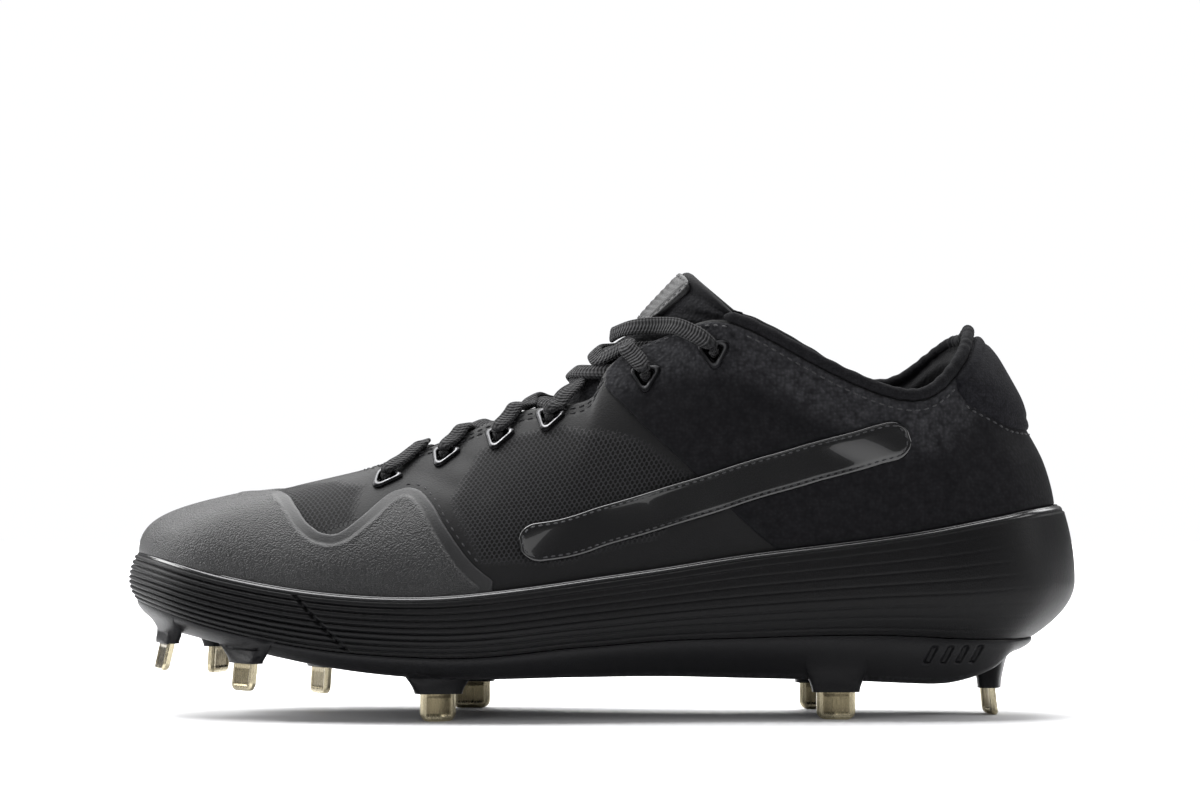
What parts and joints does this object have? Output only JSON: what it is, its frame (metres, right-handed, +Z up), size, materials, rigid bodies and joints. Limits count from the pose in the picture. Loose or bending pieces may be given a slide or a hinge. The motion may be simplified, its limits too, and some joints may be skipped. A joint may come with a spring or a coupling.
{
  "type": "baseball cleat",
  "caption": "Low baseball cleat for the left foot: knit and mesh upper with moulded toe cap and laces, foam midsole, plate with bent metal spikes.",
  "frame": {"origin": "on the floor, under the middle of the shoe's bounding box", "axes": "+X from toe to heel, -Y to the outer (lateral) side, +Z up"},
  "size_m": [0.3, 0.1038, 0.1404],
  "materials": {
    "textile": "matt black knit and neoprene",
    "lining": "matt black knit",
    "cap_rubber": "grained, satin",
    "foam": "moulded, satin",
    "plate_plastic": "satin",
    "spike_steel": "satin, warm tint",
    "patent": "high gloss",
    "lace_cord": "woven, matt",
    "eyelet_metal": "black with bright edges"
  },
  "bodies": {
    "root": {"upper": "textile", "insole": "lining", "midsole": "foam", "outsole": "plate_plastic", "toe_cap": "cap_rubber", "quarter": "textile", "heel_pad": "textile", "strap_lateral": "patent", "strap_medial": "patent", "collar_piping": "textile", "tongue": "textile", "tongue_label": "cap_rubber", "spike_toe": "spike_steel", "spike_toe_medial": "spike_steel", "spike_toe_lateral": "spike_steel", "spike_joint_medial": "spike_steel", "spike_ball_lateral": "spike_steel", "spike_ball_medial": "spike_steel", "spike_heel_medial": "spike_steel", "spike_heel_lateral": "spike_steel", "spike_heel_back": "spike_steel", "lace_1": "lace_cord", "eyelet_lateral_1": "eyelet_metal", "eyelet_medial_1": "eyelet_metal", "lace_2": "lace_cord", "eyelet_lateral_2": "eyelet_metal", "eyelet_medial_2": "eyelet_metal", "lace_3": "lace_cord", "eyelet_lateral_3": "eyelet_metal", "eyelet_medial_3": "eyelet_metal", "lace_4": "lace_cord", "eyelet_lateral_4": "eyelet_metal", "eyelet_medial_4": "eyelet_metal", "lace_5": "lace_cord", "eyelet_lateral_5": "eyelet_metal", "eyelet_medial_5": "eyelet_metal", "lace_6": "lace_cord", "eyelet_lateral_6": "eyelet_metal", "eyelet_medial_6": "eyelet_metal"}
  },
  "joints": []
}
